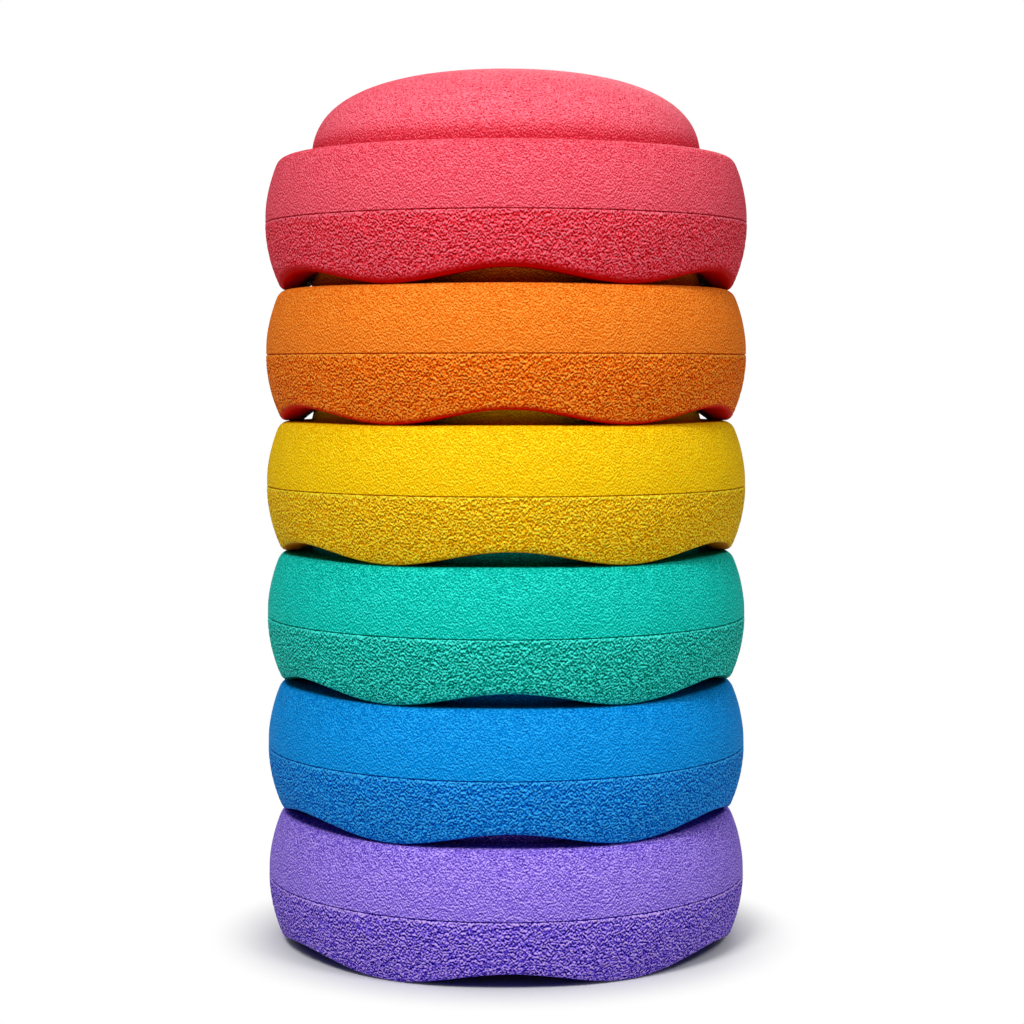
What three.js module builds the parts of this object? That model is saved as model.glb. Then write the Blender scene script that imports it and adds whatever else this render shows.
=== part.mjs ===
// Stack of rounded balance stepping stones for children, each stone one foam moulding.
// Millimetres, +Z up. The origin is the centre of the bottom stone's foot plane, and an arch faces -Y.
import * as THREE from "three";

// Body of a stone: two side arcs that meet at the widest ring and draw in to the shoulder and to the feet
const stoneRadius = 137.5;
const waistHeight = 37.6;
const shoulderHeight = 74.2;
const shoulderDrawIn = 8.3;
const footDrawIn = 9;
const shoulderFillet = 7.5;
const footFillet = 4;

// Dome on top: a superellipse whose middle lies a little below the flat shoulder ring round it
const shoulderRingWidth = 13;
const domeHeight = 48.5;
const domeSink = 6;
const domeRadiusPower = 2.48;
const domeHeightPower = 2.77;

// Wavy foot edge: arches between feet
const archHeight = 8.2;
const archCount = 6;

// Fit of one stone over the dome of the stone below
const nestClearance = 3;
const seatGap = 0.3;

// Facets round the stone and along its outline
const columnsPerArch = 8;
const footSteps = 2;
const sideSteps = 4;
const shoulderSteps = 2;
const domeSteps = 8;
const bowlSteps = 7;

// Stones from the floor up, with the colour of each
const stones = [
  { name: "stone_purple", colour: 0x7f65cf },
  { name: "stone_blue", colour: 0x0680cc },
  { name: "stone_green", colour: 0x14b4a4 },
  { name: "stone_yellow", colour: 0xedbf19 },
  { name: "stone_orange", colour: 0xe47220 },
  { name: "stone_red", colour: 0xe34d5f },
];
const foamRoughness = 0.85;

// Values that follow from the sizes above
const quarterTurn = Math.PI / 2;
const stackPitch = shoulderHeight + seatGap;
const columns = archCount * columnsPerArch;
const columnAngle = (2 * Math.PI) / columns;
const halfColumn = columnAngle / 2;
const facetGrowthShare = 1 / Math.cos(halfColumn);
const lowerSide = sideArc(waistHeight, footDrawIn);
const upperSide = sideArc(shoulderHeight - waistHeight, shoulderDrawIn);
const shoulder = filletOn(upperSide, shoulderFillet, shoulderHeight - shoulderFillet);
const domeRadius = shoulder.centre.x - shoulderRingWidth;

// Arc that is upright at the widest ring and has drawn in by a given amount over a given height
function sideArc(height, drawIn) {
  const radius = (height ** 2 + drawIn ** 2) / (2 * drawIn);
  return { centre: new THREE.Vector2(stoneRadius - radius, waistHeight), radius };
}

// Fillet inside a side arc, with its centre at a given height, and the angle where the two meet
function filletOn(side, radius, height) {
  const rise = height - side.centre.y;
  const reach = Math.sqrt((side.radius - radius) ** 2 - rise ** 2);
  const centre = new THREE.Vector2(side.centre.x + reach, height);
  return { centre, radius, angle: Math.atan2(rise, reach) };
}

// Points along an arc after its start, up to and with its end
function arcPoints({ centre, radius }, start, end, steps) {
  const points = [];
  for (let step = 1; step <= steps; step += 1) {
    const angle = start + ((end - start) * step) / steps;
    points.push(new THREE.Vector2(Math.cos(angle), Math.sin(angle)).multiplyScalar(radius).add(centre));
  }
  return points;
}

// Dome outline from a height above the shoulder up to the axis, grown outwards by a clearance
function domePoints(fromHeight, growth, steps) {
  const radius = domeRadius + growth;
  const rise = domeHeight + domeSink + growth;
  const start = Math.asin(((fromHeight + domeSink) / rise) ** (domeHeightPower / 2));
  const points = [];
  for (let step = 0; step < steps; step += 1) {
    const angle = start + ((quarterTurn - start) * step) / steps;
    const across = radius * Math.cos(angle) ** (2 / domeRadiusPower);
    const above = rise * Math.sin(angle) ** (2 / domeHeightPower) - domeSink;
    points.push(new THREE.Vector2(across, above));
  }
  points.push(new THREE.Vector2(0, rise - domeSink));
  return points;
}

// Hollow underside: the dome of the stone below with clearance, from its crown down to the mouth
function bowlPoints(lift) {
  const points = domePoints(lift + seatGap, nestClearance, bowlSteps);
  points.forEach((point) => point.setY(point.y - seatGap));
  return points.reverse();
}

// Outside of the body, from the flat of the foot edge up to the shoulder ring
function sidePoints(lift) {
  const foot = filletOn(lowerSide, footFillet, lift + footFillet);
  return [
    new THREE.Vector2(foot.centre.x, lift),
    ...arcPoints(foot, -quarterTurn, foot.angle, footSteps),
    ...arcPoints(lowerSide, foot.angle, 0, sideSteps),
    ...arcPoints(upperSide, 0, shoulder.angle, sideSteps),
    ...arcPoints(shoulder, shoulder.angle, quarterTurn, shoulderSteps),
  ];
}

// Whole outline of a stone where its foot edge is lifted by a given amount
function stoneOutline(lift) {
  const dome = domePoints(0, 0, domeSteps);
  dome.forEach((point) => point.setY(point.y + shoulderHeight));
  return [...bowlPoints(lift), ...sidePoints(lift), ...dome];
}

// Height of the foot edge at an angle from an arch: a wave, flat for one facet at each foot and each crown
function footLift(angle) {
  const waveShare = (1 + Math.cos(archCount * angle)) / 2;
  const flatShare = (1 - Math.cos(archCount * halfColumn)) / 2;
  return (archHeight * (waveShare - flatShare)) / (1 - 2 * flatShare);
}

// Turned body whose columns each take the outline for their own height of the foot edge. The columns stand
// a little outside the true circle, so that the middle of each facet touches it.
function stoneGeometry() {
  const geometry = new THREE.LatheGeometry(stoneOutline(0), columns, halfColumn);
  const position = geometry.getAttribute("position");
  for (let column = 0; column <= columns; column += 1) {
    const angle = halfColumn + (column % columns) * columnAngle;
    const outline = stoneOutline(footLift(angle));
    outline.forEach(({ x, y }, row) => {
      const reach = x * facetGrowthShare;
      position.setXYZ(column * outline.length + row, reach * Math.sin(angle), y, reach * Math.cos(angle));
    });
  }
  geometry.rotateX(quarterTurn);
  geometry.computeVertexNormals();
  return geometry;
}

// Six stones nested on one axis
function stoneStack() {
  const stack = new THREE.Group();
  const geometry = stoneGeometry();
  stones.forEach(({ name, colour }, level) => {
    const material = new THREE.MeshStandardMaterial({ color: colour, roughness: foamRoughness, metalness: 0 });
    const stone = new THREE.Mesh(geometry, material);
    stone.name = name;
    stone.position.setZ(level * stackPitch);
    stack.add(stone);
  });
  return stack;
}

export default stoneStack();
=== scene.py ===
import math

import bpy
import numpy as np
from mathutils import Matrix, Vector


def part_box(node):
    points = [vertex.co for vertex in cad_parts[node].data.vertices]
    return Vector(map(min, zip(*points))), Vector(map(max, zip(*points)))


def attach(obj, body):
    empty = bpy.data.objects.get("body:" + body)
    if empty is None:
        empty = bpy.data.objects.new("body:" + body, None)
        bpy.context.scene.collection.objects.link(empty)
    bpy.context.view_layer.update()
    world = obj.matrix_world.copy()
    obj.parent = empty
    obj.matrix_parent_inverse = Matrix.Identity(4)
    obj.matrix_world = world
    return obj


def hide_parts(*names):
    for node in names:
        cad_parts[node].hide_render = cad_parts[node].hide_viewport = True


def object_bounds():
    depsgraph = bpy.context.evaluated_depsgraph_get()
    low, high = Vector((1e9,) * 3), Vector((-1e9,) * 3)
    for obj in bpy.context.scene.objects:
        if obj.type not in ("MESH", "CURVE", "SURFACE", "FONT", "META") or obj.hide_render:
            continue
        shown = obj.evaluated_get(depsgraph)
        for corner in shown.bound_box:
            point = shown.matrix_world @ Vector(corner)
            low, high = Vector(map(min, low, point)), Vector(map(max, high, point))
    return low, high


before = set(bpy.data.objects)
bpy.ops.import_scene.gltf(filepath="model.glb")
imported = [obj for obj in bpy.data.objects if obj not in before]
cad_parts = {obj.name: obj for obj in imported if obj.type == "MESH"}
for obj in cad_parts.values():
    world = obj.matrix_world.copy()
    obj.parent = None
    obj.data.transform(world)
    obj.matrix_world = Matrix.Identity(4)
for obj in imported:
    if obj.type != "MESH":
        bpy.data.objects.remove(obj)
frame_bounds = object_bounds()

# Outline of a stone, in metres. The widest radius comes from the frame.
STONE_RADIUS = (frame_bounds[1].x - frame_bounds[0].x) / 2
WAIST_HEIGHT = 0.0376
SHOULDER_HEIGHT = 0.0742
SHOULDER_DRAW_IN = 0.0083
FOOT_DRAW_IN = 0.009
SHOULDER_FILLET = 0.0075
FOOT_FILLET = 0.004
SHOULDER_RING_WIDTH = 0.013
DOME_HEIGHT = 0.0485
DOME_SINK = 0.006
DOME_RADIUS_POWER = 2.48
DOME_HEIGHT_POWER = 2.77
ARCH_HEIGHT = 0.0082
ARCH_COUNT = 6
NEST_CLEARANCE = 0.003
SEAT_GAP = 0.0003

# Foam stands on foam: the shoulder ring is raised through the seat gap, and stops just short of the next foot
RING_RISE = 0.00028

# Small rounded edges: the mouth of the hollow and the crease at the foot of the dome
MOUTH_FILLET = 0.0015
CREASE_FILLET = 0.0025

# Parting line of the mould at the widest ring, and the proud upper edge of the lower half under it
SEAM_HALF_WIDTH = 0.0004
SEAM_DEPTH = 0.0006
EDGE_ROUND_WIDTH = 0.001
EDGE_ROUND_DEPTH = 0.0003
# Painted highlight along the rounded edge under the parting line, as a share of the painted light and shade
EDGE_PAINTED_HIGHLIGHT = 0.6
UPPER_SETBACK = 0.00016
SETBACK_FADE = 0.009

# Painted light and shade on the dome: a little paler than the side, as light from above falls on it, and
# deeper in colour along its foot, as shade in the crease, up to a height
DOME_PAINTED_LIGHT = 0.2
DOME_FOOT_PAINTED_SHADE = 0.55
DOME_FOOT_HEIGHT = 0.014

# Embossed grain of the lower half, which fades in above the foot edge, and slow waves of the parts above it
LIP_START = 0.0004
LIP_END = 0.0018
GRAIN_DEPTH = 0.0004
GRAIN_LENGTH = 0.0018
GRAIN_STEEPNESS = 2.2
GRAIN_SEED = 1
WAVE_DEPTH = 0.00012
WAVE_LENGTH = 0.011
WAVE_SEED = 2

# Noise in the mesh: how many slopes it draws from, and what brings it to about -1 to 1
NOISE_SLOPES = 256
NOISE_GAIN = 2

# Columns round the stone. Away from the grain, a ring's columns are halved while that leaves them closer than
# a spacing, but not below a least number.
COLUMNS = 1200
COLUMN_SPACING = 0.0013
LEAST_COLUMNS = 75

# Rows along each stretch of the outline, and the least distance between rows when a direction is worked out
BOWL_ROWS = 36
MOUTH_ROWS = 4
FOOT_FLAT_ROWS = 5
FOOT_ROWS = 7
LOWER_ROWS = 44
SEAM_ROWS = 12
UPPER_ROWS = 22
SHOULDER_ROWS = 8
RING_ROWS = 6
CREASE_ROWS = 4
DOME_ROWS = 48
LEAST_ROW_DISTANCE = 1e-9

# Stretches of the outline with the embossed grain, in the lower half, next to the parting line, with slow
# waves, and on the dome
GRAINED = ("foot", "lower", "seam")
LOWER_HALF = ("mouth", "foot_flat", "foot", "lower", "seam")
SIDE = ("lower", "seam", "upper")
WAVED = ("upper", "shoulder", "dome")
DOMED = ("crease", "dome")

# Stones from the floor up. Colours as shown on a screen, of the sandy upper half and the embossed lower half,
# how strong the grain shows, and how far up from the foot edge the foam is smooth and painted deeper, as
# shade of the down-facing edge, in metres
STONES = {
    "purple": {"upper": (136, 106, 230), "lower": (110, 76, 232), "contrast": 1.5, "lip": 0.0008},
    "blue": {"upper": (0, 138, 222), "lower": (0, 124, 226), "contrast": 0.9, "lip": 0.0008},
    "green": {"upper": (0, 190, 174), "lower": (0, 180, 163), "contrast": 1.1, "lip": 0.0006},
    "yellow": {"upper": (250, 193, 0), "lower": (255, 184, 0), "contrast": 0.85, "lip": 0.001},
    "orange": {"upper": (244, 121, 24), "lower": (255, 108, 0), "contrast": 0.9, "lip": 0.0035},
    "red": {"upper": (238, 76, 94), "lower": (252, 52, 70), "contrast": 1.0, "lip": 0.006},
}

# Foam finish. Grains of the two halves and the mottle over both: length in metres and detail of the noise
SAND_LENGTH = 0.0009
SAND_DETAIL = 1.0
EMBOSS_LENGTH = 0.00105
EMBOSS_DETAIL = 0.0
MOTTLE_LENGTH = 0.009
MOTTLE_DETAIL = 3.0

# How far the colours of the two halves go up and down with the painted light and shade of the grain, and how
# much deeper the smooth foot edge is painted, as its shade, in values of a colour as shown on a screen
UPPER_STEP = 48.0
LOWER_STEP = 68.0
LIP_DROP = 66.0

# How strongly each of these moves the colour along its ramp, which runs from 0 to 1 as a noise does, and the
# middle of both. The grain paints light and shade on itself as if lit from above, the mesh's grain paints its
# pits deeper as shade and its bumps paler, the mottle is tone that differs at random, and the fourth carries
# the painted light and shade along the parting line and on the dome
GRAIN_SHARE = 2.1
EMBOSS_SHARE = 0.25
MOTTLE_SHARE = 0.2
PAINTED_SHADING_SHARE = 0.9
MIDDLE = 0.5

# How far up the grain is read again, to paint it paler above and deeper below, as light from above would
# shade it, as a share of its length, and where it begins to fade in above the foot edge, as a share of the
# height up to which the foam is smooth
TOP_LIT_SHARE = 0.85
LIP_FADE_SHARE = 0.1

# Bumps in metres, and how matt the foam is
SAND_BUMP = 0.0005
EMBOSS_BUMP = 0.0014
FOAM_ROUGHNESS = 0.6
FOAM_SPECULAR = 0.02

# Curve of screen colours: straight up to a knee, and a power above it
SCREEN_WHITE = 255
SCREEN_KNEE = 0.04045
SCREEN_SLOPE = 12.92
SCREEN_OFFSET = 0.055
SCREEN_POWER = 2.4

# Camera, fitted to the six parting lines in the photo: metres and angles, and the lens in millimetres
CAMERA_DISTANCE = 1.3307
CAMERA_HEIGHT = 0.3266
CAMERA_AZIMUTH = math.radians(0.93)
CAMERA_TILT = math.radians(3.51)
CAMERA_PAN = math.radians(0.145)
CAMERA_LENS = 81.1
CAMERA_SENSOR = 36.0

# Studio: lengths in metres, angles in degrees, lamp power in watts, and glow as a share of white
FLOOR_HALF_WIDTH = 30.0
FLOOR_COLOUR = (0.7, 0.7, 0.7, 1)
FADE_START = 0.12
FADE_END = 0.175
WORLD_STRENGTH = 0.11
WHITE = (1, 1, 1, 1)
AIM_HEIGHT = 0.25
LAMPS = {
    "key": {"azimuth": -24, "elevation": 47, "distance": 3.0, "size": 0.8, "power": 66},
    "fill": {"azimuth": 42, "elevation": 43, "distance": 3.0, "size": 0.8, "power": 28},
    "top": {"azimuth": 0, "elevation": 80, "distance": 2.5, "size": 1.2, "power": 5},
    "back": {"azimuth": 170, "elevation": 30, "distance": 3.0, "size": 1.2, "power": 22},
}

FULL_TURN = 2 * math.pi
HALF_TURN = math.pi
QUARTER_TURN = math.pi / 2


def side_arc(height, draw_in):
    """Radius and centre of the arc that is upright at the waist and has drawn in by a given amount"""
    radius = (height**2 + draw_in**2) / (2 * draw_in)
    return radius, STONE_RADIUS - radius


def fillet_on(side, fillet, height):
    """Centre radius of a fillet inside a side arc, and the angle where the two meet"""
    rise = height - WAIST_HEIGHT
    reach = np.sqrt((side[0] - fillet) ** 2 - rise**2)
    return side[1] + reach, np.arctan2(rise, reach)


# Values that follow from the sizes above
LOWER_SIDE = side_arc(WAIST_HEIGHT, FOOT_DRAW_IN)
UPPER_SIDE = side_arc(SHOULDER_HEIGHT - WAIST_HEIGHT, SHOULDER_DRAW_IN)
RING_HEIGHT = SHOULDER_HEIGHT + RING_RISE
SHOULDER_CENTRE_HEIGHT = RING_HEIGHT - SHOULDER_FILLET
SHOULDER_CENTRE, SHOULDER_ANGLE = fillet_on(UPPER_SIDE, SHOULDER_FILLET, SHOULDER_CENTRE_HEIGHT)
DOME_RADIUS = SHOULDER_CENTRE - SHOULDER_RING_WIDTH
SEAM_START = WAIST_HEIGHT - SEAM_HALF_WIDTH - EDGE_ROUND_WIDTH
SEAM_END = WAIST_HEIGHT + 2 * SEAM_HALF_WIDTH
SIDE_END = SHOULDER_CENTRE_HEIGHT + SHOULDER_FILLET * math.sin(SHOULDER_ANGLE)


def side_radius(height):
    """Radius of the stone's side at a height"""
    below = height < WAIST_HEIGHT
    radius = np.where(below, LOWER_SIDE[0], UPPER_SIDE[0])
    centre = np.where(below, LOWER_SIDE[1], UPPER_SIDE[1])
    return centre + np.sqrt(radius**2 - (height - WAIST_HEIGHT) ** 2)


def spread(start, end, rows):
    """Values from start to end in even rows, without the start"""
    return start + (end - start) * np.arange(1, rows + 1)[:, None] / rows


def arc_rows(centre, height, radius, start, end, rows):
    """Radius and height along an arc, without its start"""
    angles = spread(start, end, rows)
    return centre + radius * np.cos(angles), height + radius * np.sin(angles)


def side_rows(start, end, rows):
    """Radius and height along the stone's side, without its start"""
    heights = spread(start, end, rows)
    return side_radius(heights), heights


def dome_rows(from_height, growth, rows):
    """Radius and height of a dome from a height above the shoulder ring up to the axis, without its start"""
    rise = DOME_HEIGHT + DOME_SINK + growth
    start = np.arcsin(((from_height + DOME_SINK) / rise) ** (DOME_HEIGHT_POWER / 2))
    angles = spread(start, QUARTER_TURN, rows)
    across = (DOME_RADIUS + growth) * np.maximum(np.cos(angles), 0) ** (2 / DOME_RADIUS_POWER)
    return across, rise * np.sin(angles) ** (2 / DOME_HEIGHT_POWER) - DOME_SINK


def foot_lift(angles):
    """Height of the wavy foot edge at angles from an arch"""
    return ARCH_HEIGHT * (1 + np.cos(ARCH_COUNT * angles)) / 2


def hollow_stretches(lift):
    """The hollow from its crown down to its mouth, and the rounded edge of the mouth"""
    across, up = dome_rows(lift + MOUTH_FILLET + SEAT_GAP, NEST_CLEARANCE, BOWL_ROWS)
    up = up - SEAT_GAP
    start, end = HALF_TURN, HALF_TURN + QUARTER_TURN
    mouth = arc_rows(across[0] + MOUTH_FILLET, up[0], MOUTH_FILLET, start, end, MOUTH_ROWS)
    return {"bowl": (across[::-1], up[::-1]), "mouth": mouth}


def foot_stretches(mouth_edge, lift):
    """The flat of the foot edge from the mouth outwards, and the fillet outside it"""
    centre, angle = fillet_on(LOWER_SIDE, FOOT_FILLET, lift + FOOT_FILLET)
    foot = arc_rows(centre, lift + FOOT_FILLET, FOOT_FILLET, -QUARTER_TURN, angle, FOOT_ROWS)
    return {"foot_flat": (spread(mouth_edge, centre, FOOT_FLAT_ROWS), lift), "foot": foot}


def side_stretches(foot_end, level):
    """The side from the end of the foot's fillet past the parting line to the shoulder's fillet"""
    return {
        "lower": side_rows(foot_end, SEAM_START, LOWER_ROWS),
        "seam": side_rows(SEAM_START + level, SEAM_END, SEAM_ROWS),
        "upper": side_rows(SEAM_END + level, SIDE_END, UPPER_ROWS),
    }


def top_stretches(level):
    """The shoulder's fillet, the flat ring, the crease at the foot of the dome, and the dome"""
    start, end = SHOULDER_ANGLE + level, QUARTER_TURN
    shoulder = arc_rows(SHOULDER_CENTRE, SHOULDER_CENTRE_HEIGHT, SHOULDER_FILLET, start, end, SHOULDER_ROWS)
    centre, height = DOME_RADIUS + CREASE_FILLET, RING_HEIGHT + CREASE_FILLET
    crease = arc_rows(centre, height, CREASE_FILLET, level - QUARTER_TURN, -HALF_TURN, CREASE_ROWS)
    across, up = dome_rows(level + CREASE_FILLET + RING_RISE, 0, DOME_ROWS)
    return {
        "shoulder": shoulder,
        "ring": (spread(SHOULDER_CENTRE + level, centre, RING_ROWS), RING_HEIGHT),
        "crease": crease,
        "dome": (across, up + SHOULDER_HEIGHT),
    }


def outline(lift):
    """Stretches of a stone's outline from the crown of the hollow round to the top of the dome, by name"""
    # A zero for each column, which gives a stretch that is alike all round its columns
    level = np.zeros_like(lift)
    hollow = hollow_stretches(lift)
    mouth_radius, mouth_height = hollow["mouth"]
    foot = foot_stretches(mouth_radius[-1], lift)
    foot_radius, foot_height = foot["foot"]
    return {**hollow, **foot, **side_stretches(foot_height[-1], level), **top_stretches(level)}


def smooth_step(values, start, end):
    """0 up to start, 1 from end on, and a smooth rise between"""
    share = np.clip((values - start) / (end - start), 0, 1)
    return share**2 * (3 - 2 * share)


def gradient_noise(points, seed):
    """Smooth noise of about -1 to 1 at points given in cells"""
    random = np.random.default_rng(seed)
    order = random.permutation(NOISE_SLOPES)
    gradients = random.normal(size=(NOISE_SLOPES, 3))
    gradients /= np.linalg.norm(gradients, axis=1)[:, None]
    cell = np.floor(points).astype(int)
    inside = points - cell
    ease = inside**3 * (inside * (inside * 6 - 15) + 10)
    total = np.zeros(points.shape[:-1])
    for corner in np.ndindex(2, 2, 2):
        pick = 0
        for place in np.moveaxis(cell + corner, -1, 0):
            pick = order[(pick + place) % NOISE_SLOPES]
        slope = (gradients[pick] * (inside - corner)).sum(-1)
        weight = np.where(corner, ease, 1 - ease).prod(-1)
        total += weight * slope
    return total * NOISE_GAIN


def dome_painted_light_and_shade(height):
    """Painted shade below 0 along the foot of the dome, and painted light above 0 on the rest of it"""
    share = smooth_step(height - SHOULDER_HEIGHT, 0, DOME_FOOT_HEIGHT)
    return share * DOME_PAINTED_LIGHT - (1 - share) * DOME_FOOT_PAINTED_SHADE


def seam_groove(above):
    """1 in the middle of the groove at the parting line, and 0 from its edges on"""
    return np.clip(1 - (above / SEAM_HALF_WIDTH) ** 2, 0, 1)


def seam_painted_shade_and_highlight(height):
    """Painted shade down to -1 in the groove at the parting line, and painted highlight above 0 along the
    rounded edge under it
    """
    above = height - WAIST_HEIGHT
    groove = seam_groove(above)
    edge_middle = -SEAM_HALF_WIDTH - EDGE_ROUND_WIDTH / 2
    edge = np.clip(1 - np.abs(above - edge_middle) / EDGE_ROUND_WIDTH, 0, 1)
    return edge * EDGE_PAINTED_HIGHLIGHT * (groove == 0) - groove


def seam_relief(height):
    """Depth of the groove at the parting line, of the rounded edge under it and of the setback above it"""
    above = height - WAIST_HEIGHT
    down = np.clip(1 + (above + SEAM_HALF_WIDTH) / EDGE_ROUND_WIDTH, 0, 1) * (above < 0)
    setback = (above >= 0) * (1 - smooth_step(above, 0, SETBACK_FADE))
    return seam_groove(above) * SEAM_DEPTH + down**2 * EDGE_ROUND_DEPTH + setback * UPPER_SETBACK


def grain_cover(height, rise):
    """How much of the embossed grain there is: none at the foot edge, and none at the parting line"""
    under_seam = smooth_step(WAIST_HEIGHT - height, SEAM_HALF_WIDTH, SEAM_HALF_WIDTH + EDGE_ROUND_WIDTH)
    return smooth_step(rise, LIP_START, LIP_END) * under_seam


def grain_height(points):
    """Embossed grain from 0, in a pit, to 1, on a bump"""
    return (1 + np.tanh(GRAIN_STEEPNESS * gradient_noise(points / GRAIN_LENGTH, GRAIN_SEED))) / 2


def wave_height(points):
    """Slow waves from about -1 to about 0"""
    return (gradient_noise(points / WAVE_LENGTH, WAVE_SEED) - 1) / 2


def surface(angles, radius, height):
    """Places of rows and columns, from the angle off the front, the radius and the height"""
    return np.stack([radius * np.sin(angles), -radius * np.cos(angles), height], axis=-1)


def in_stretches(zones, names):
    """Which rows belong to the named stretches"""
    return np.isin(zones, names)[:, None]


def pushed_out(radius, height, relief):
    """Radius and height moved outwards by a relief, square to the outline"""
    across, along = np.gradient(radius, axis=0), np.gradient(height, axis=0)
    distance = np.maximum(np.hypot(across, along), LEAST_ROW_DISTANCE)
    return np.maximum(radius + relief * along / distance, 0), height - relief * across / distance


def stone_grid():
    """Angle of each column, radius and height of each row in each column, and the stretch of each row"""
    angles = np.arange(COLUMNS) * FULL_TURN / COLUMNS
    stretches = outline(foot_lift(angles))
    grids = [np.broadcast_arrays(across, up) for across, up in stretches.values()]
    radius, height = (np.vstack(parts) for parts in zip(*grids))
    zones = np.repeat(list(stretches), [len(across) for across, up in grids])
    return angles, radius, height, zones


def stone_points():
    """Places of all rows and columns, the numbers that the material reads, and each row's stretch"""
    angles, radius, height, zones = stone_grid()
    side = in_stretches(zones, SIDE)
    below = in_stretches(zones, LOWER_HALF) * (height < WAIST_HEIGHT)
    rise = (height - foot_lift(angles)) * in_stretches(zones, GRAINED)
    places = surface(angles, radius, height)
    cover = below * grain_cover(height, rise)
    grain = grain_height(places)
    waves = in_stretches(zones, WAVED) * WAVE_DEPTH * wave_height(places)
    relief = cover * GRAIN_DEPTH * (grain - 1) + waves - side * seam_relief(height)
    painted_shading = side * seam_painted_shade_and_highlight(height) + in_stretches(zones, DOMED) * dome_painted_light_and_shade(height)
    # The grain's height kept for the material paints its pits deeper, as shade, and its bumps paler, as light
    numbers = {"below": below, "rise": rise, "emboss": cover * (grain - MIDDLE), "painted_shading": painted_shading}
    return surface(angles, *pushed_out(radius, height, relief)), numbers, zones


def ring_columns(zone, row):
    """How many columns a ring needs: all where the grain is, else halved while the spacing stays fine"""
    if zone in GRAINED:
        return COLUMNS
    around = FULL_TURN * np.linalg.norm(row[:, :2], axis=1).max()
    if around < COLUMN_SPACING:
        return 1
    count = COLUMNS
    while count % 2 == 0 and count > LEAST_COLUMNS and around / (count / 2) < COLUMN_SPACING:
        count //= 2
    return count


def join_rings(low, high):
    """Faces between two rings of vertex numbers, where one may have twice as many columns or be a point"""
    low_next, high_next = np.roll(low, -1), np.roll(high, -1)
    if len(low) == 1:
        return [(low[0], b, a) for a, b in zip(high, high_next)]
    if len(high) == 1:
        return [(a, b, high[0]) for a, b in zip(low, low_next)]
    if len(low) == len(high):
        return list(zip(low, low_next, high_next, high))
    if len(high) > len(low):
        start, middle, end = high[::2], high[1::2], high_next[1::2]
        return [*zip(low, middle, start), *zip(low, low_next, middle), *zip(low_next, end, middle)]
    start, middle, end = low[::2], low[1::2], low_next[1::2]
    return [*zip(start, middle, high), *zip(middle, high_next, high), *zip(middle, end, high_next)]


def stone_mesh():
    """Mesh of the bottom stone, as rings from the crown of the hollow to the top of the dome"""
    points, numbers, zones = stone_points()
    vertices, faces = [], []
    kept = {label: [] for label in numbers}
    count, before = 0, None
    for row, zone in enumerate(zones):
        columns = ring_columns(zone, points[row])
        chosen = slice(None, None, COLUMNS // columns)
        vertices.append(points[row, chosen])
        for label, values in numbers.items():
            kept[label].append(values[row, chosen])
        ring = np.arange(count, count + columns)
        if before is not None:
            faces += join_rings(before, ring)
        count, before = count + columns, ring
    mesh = bpy.data.meshes.new("stone")
    mesh.from_pydata(np.vstack(vertices).tolist(), [], [tuple(map(int, face)) for face in faces])
    for label, values in kept.items():
        attribute = mesh.attributes.new(label, "FLOAT", "POINT")
        attribute.data.foreach_set("value", np.concatenate(values).astype(np.float32))
    mesh.shade_smooth()
    return mesh


class Nodes:
    """Short calls for building the nodes of a material or of the world"""

    def __init__(self, owner):
        owner.use_nodes = True
        self.tree = owner.node_tree
        self.tree.nodes.clear()

    def add(self, kind, settings=None, **inputs):
        """A node with its settings and its inputs, which are values or other nodes' outputs"""
        node = self.tree.nodes.new(kind)
        for key, value in (settings or {}).items():
            setattr(node, key, value)
        for key, value in inputs.items():
            socket = node.inputs[int(key[1:])] if key[1:].isdigit() else node.inputs[key.replace("_", " ")]
            if isinstance(value, bpy.types.NodeSocket):
                self.tree.links.new(value, socket)
            else:
                socket.default_value = value
        return node

    def math(self, operation, first, second):
        """Result of a math node"""
        return self.add("ShaderNodeMath", {"operation": operation}, i0=first, i1=second).outputs[0]

    def vector(self, operation, first, second):
        """Result of a vector math node"""
        return self.add("ShaderNodeVectorMath", {"operation": operation}, i0=first, i1=second).outputs[0]

    def noise(self, place, length, detail):
        """Noise from 0 to 1 with blobs of about a given length"""
        return self.add("ShaderNodeTexNoise", Vector=place, Scale=1 / length, Detail=detail).outputs["Fac"]

    def attribute(self, name):
        """A number kept at each point of the mesh"""
        return self.add("ShaderNodeAttribute", {"attribute_name": name}).outputs["Fac"]

    def sum(self, *values):
        """Sum of sockets and numbers"""
        total = values[0]
        for value in values[1:]:
            total = self.math("ADD", total, value)
        return total

    def step(self, value, start, end):
        """0 up to start, 1 from end on, and a smooth rise between"""
        settings = {"interpolation_type": "SMOOTHSTEP"}
        return self.add("ShaderNodeMapRange", settings, Value=value, From_Min=start, From_Max=end).outputs[0]

    def mix(self, share, first, second):
        """Colour between two colours"""
        return self.add("ShaderNodeMix", {"data_type": "RGBA"}, i0=share, i6=first, i7=second).outputs[2]

    def ramp(self, value, colours):
        """Colour along evenly spaced colours, by a value from 0 to 1"""
        node = self.add("ShaderNodeValToRGB", Fac=value)
        stops = node.color_ramp.elements
        while len(stops) < len(colours):
            stops.new(1.0)
        for number, colour in enumerate(colours):
            stops[number].position = number / (len(colours) - 1)
            stops[number].color = colour
        return node.outputs["Color"]


def linear(colour, step=0.0):
    """Scene colour of a colour as shown on a screen, made lighter or deeper by a step of all three values"""
    shares = np.clip((np.array(colour) + step) / SCREEN_WHITE, 0, 1)
    curved = ((shares + SCREEN_OFFSET) / (1 + SCREEN_OFFSET)) ** SCREEN_POWER
    return (*np.where(shares <= SCREEN_KNEE, shares / SCREEN_SLOPE, curved).tolist(), 1.0)


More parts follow.
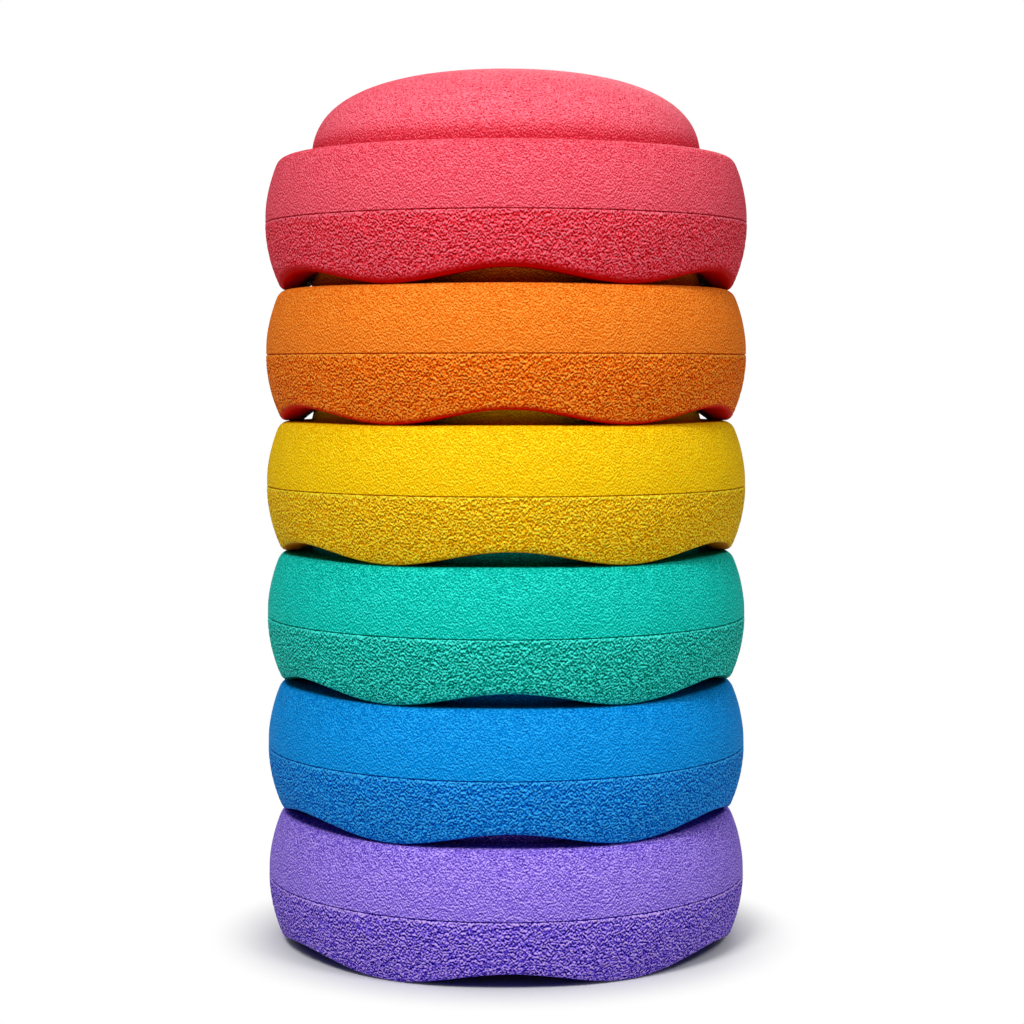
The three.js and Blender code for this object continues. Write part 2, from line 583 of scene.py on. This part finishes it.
def shades(colour, step):
    """Scene colours a step deeper than a screen colour, the same as it and a step lighter"""
    return [linear(colour, way * step) for way in (-1, 0, 1)]


def deepened(colour):
    """A screen colour made deeper, its largest value least: painted shade for the down-facing foot edge"""
    return [value - LIP_DROP * (2 - value / max(colour)) for value in colour]


def top_lit(nodes, grain, place, length, detail):
    """Painted light and shade of each grain, paler above it and deeper below it as if lit from above, as a
    change up and down from zero
    """
    above = nodes.vector("ADD", place, (0, 0, length * TOP_LIT_SHARE))
    difference = nodes.math("SUBTRACT", grain, nodes.noise(above, length, detail))
    return nodes.math("MULTIPLY", difference, GRAIN_SHARE)


def shared_level(nodes, place):
    """Place on the ramps of both halves: the middle, moved by the mottle, by the mesh's grain, which paints
    its pits deeper as shade, and by the painted light and shade kept in the mesh
    """
    mottle = nodes.math("SUBTRACT", nodes.noise(place, MOTTLE_LENGTH, MOTTLE_DETAIL), MIDDLE)
    return nodes.sum(
        nodes.math("MULTIPLY", mottle, MOTTLE_SHARE),
        nodes.math("MULTIPLY", nodes.attribute("emboss"), EMBOSS_SHARE),
        nodes.math("MULTIPLY", nodes.attribute("painted_shading"), PAINTED_SHADING_SHARE),
        MIDDLE,
    )


def smooth_edge(nodes, below, lip):
    """1 at the foot edge, falling to 0 at the height up to which the foam is smooth and painted deeper as
    shade
    """
    grained = nodes.step(nodes.attribute("rise"), lip * LIP_FADE_SHARE, lip)
    return nodes.math("MAXIMUM", nodes.math("SUBTRACT", below, grained), 0.0)


def foam_material(name, base_height, upper, lower, contrast, lip):
    """Bead foam: sandy above the parting line, embossed below it, with painted light and shade on the grain,
    smooth along the foot edge and painted deeper there as shade
    """
    material = bpy.data.materials.new(name)
    nodes = Nodes(material)
    place = nodes.vector("SUBTRACT", nodes.add("ShaderNodeTexCoord").outputs["Object"], (0, 0, base_height))
    below = nodes.attribute("below")
    edge = smooth_edge(nodes, below, lip)
    sand = nodes.noise(place, SAND_LENGTH, SAND_DETAIL)
    emboss = nodes.noise(place, EMBOSS_LENGTH, EMBOSS_DETAIL)

    shared = shared_level(nodes, place)
    sandy_level = nodes.sum(top_lit(nodes, sand, place, SAND_LENGTH, SAND_DETAIL), shared)
    embossed_level = nodes.sum(top_lit(nodes, emboss, place, EMBOSS_LENGTH, EMBOSS_DETAIL), shared)
    sandy = nodes.ramp(sandy_level, shades(upper, UPPER_STEP * contrast))
    embossed = nodes.ramp(embossed_level, shades(lower, LOWER_STEP * contrast))
    # The smooth foot edge is painted deeper, as its shade
    colour = nodes.mix(edge, nodes.mix(below, sandy, embossed), linear(deepened(lower)))

    rough = nodes.math("SUBTRACT", 1.0, edge)
    relief = nodes.math("MULTIPLY", rough, below)
    fine = nodes.add("ShaderNodeBump", Distance=SAND_BUMP, Height=sand, Strength=rough).outputs[0]
    deep = nodes.add("ShaderNodeBump", Distance=EMBOSS_BUMP, Height=emboss, Strength=relief, Normal=fine)
    shader = nodes.add(
        "ShaderNodeBsdfPrincipled",
        Base_Color=colour,
        Roughness=FOAM_ROUGHNESS,
        Specular_IOR_Level=FOAM_SPECULAR,
        Normal=deep.outputs[0],
    )
    nodes.add("ShaderNodeOutputMaterial", Surface=shader.outputs[0])
    return material


def add_object(name, data):
    """A new object in the scene"""
    thing = bpy.data.objects.new(name, data)
    bpy.context.scene.collection.objects.link(thing)
    return thing


def add_stone(bottom_stone, colour_name):
    """A finished stone in place of its node, moving with its body"""
    node = f"stone_{colour_name}"
    base_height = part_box(node)[0].z
    mesh = bottom_stone.copy()
    mesh.transform(Matrix.Translation((0, 0, base_height)))
    mesh.materials.append(foam_material(f"foam_{colour_name}", base_height, **STONES[colour_name]))
    stone = add_object(f"{node}_foam", mesh)
    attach(stone, f"{colour_name}_stone")
    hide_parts(node)


def add_camera():
    """Camera at the photo's viewing angle"""
    data = bpy.data.cameras.new("camera")
    data.lens = CAMERA_LENS
    data.sensor_width = CAMERA_SENSOR
    camera = add_object("camera", data)
    camera.location = (
        -CAMERA_DISTANCE * math.sin(CAMERA_AZIMUTH),
        -CAMERA_DISTANCE * math.cos(CAMERA_AZIMUTH),
        CAMERA_HEIGHT,
    )
    camera.rotation_euler = (QUARTER_TURN - CAMERA_TILT, 0, -CAMERA_AZIMUTH - CAMERA_PAN)
    bpy.context.scene.camera = camera


def floor_material():
    """Plain pale matt, which fades to white in the camera's eye away from the stack's shadow"""
    material = bpy.data.materials.new("floor")
    nodes = Nodes(material)
    place = nodes.add("ShaderNodeNewGeometry").outputs["Position"]
    distance = nodes.add("ShaderNodeVectorMath", {"operation": "LENGTH"}, i0=place).outputs["Value"]
    path = nodes.add("ShaderNodeLightPath").outputs
    seen = nodes.math("MAXIMUM", path["Is Camera Ray"], path["Is Glossy Ray"])
    seen = nodes.math("MAXIMUM", seen, path["Is Transmission Ray"])
    share = nodes.math("MULTIPLY", nodes.step(distance, FADE_START, FADE_END), seen)
    matt = nodes.add("ShaderNodeBsdfDiffuse", Color=FLOOR_COLOUR).outputs[0]
    white = nodes.add("ShaderNodeEmission", Strength=1.0).outputs[0]
    finish = nodes.add("ShaderNodeMixShader", i0=share, i1=matt, i2=white)
    nodes.add("ShaderNodeOutputMaterial", Surface=finish.outputs[0])
    return material


def add_floor():
    """Square floor under the stack, out past the camera"""
    mesh = bpy.data.meshes.new("floor")
    near, far = -FLOOR_HALF_WIDTH, FLOOR_HALF_WIDTH
    corners = [(near, near, 0), (far, near, 0), (far, far, 0), (near, far, 0)]
    mesh.from_pydata(corners, [], [(0, 1, 2, 3)])
    mesh.materials.append(floor_material())
    floor = add_object("floor", mesh)


def add_lamp(name, azimuth, elevation, distance, size, power):
    """Square lamp that faces the stack, at an angle from the front to the right and an angle up"""
    data = bpy.data.lights.new(name, "AREA")
    data.energy = power
    data.size = size
    lamp = add_object(name, data)
    turn, rise = math.radians(azimuth), math.radians(elevation)
    way = Vector((math.sin(turn) * math.cos(rise), -math.cos(turn) * math.cos(rise), math.sin(rise)))
    lamp.location = Vector((0, 0, AIM_HEIGHT)) + way * distance
    lamp.rotation_euler = way.to_track_quat("Z", "Y").to_euler()


def add_surround():
    """Surround that shows white and lights the scene softly"""
    world = bpy.data.worlds.new("surround")
    bpy.context.scene.world = world
    nodes = Nodes(world)
    seen = nodes.add("ShaderNodeLightPath").outputs["Is Camera Ray"]
    strength = nodes.add("ShaderNodeMix", i0=seen, i2=WORLD_STRENGTH, i3=1.0).outputs[0]
    background = nodes.add("ShaderNodeBackground", Color=WHITE, Strength=strength)
    nodes.add("ShaderNodeOutputWorld", Surface=background.outputs[0])


add_camera()
one_stone = stone_mesh()
for stone_colour in STONES:
    add_stone(one_stone, stone_colour)
add_floor()
for lamp_name, lamp_values in LAMPS.items():
    add_lamp(lamp_name, **lamp_values)
add_surround()
bpy.context.scene.view_settings.view_transform = "Standard"
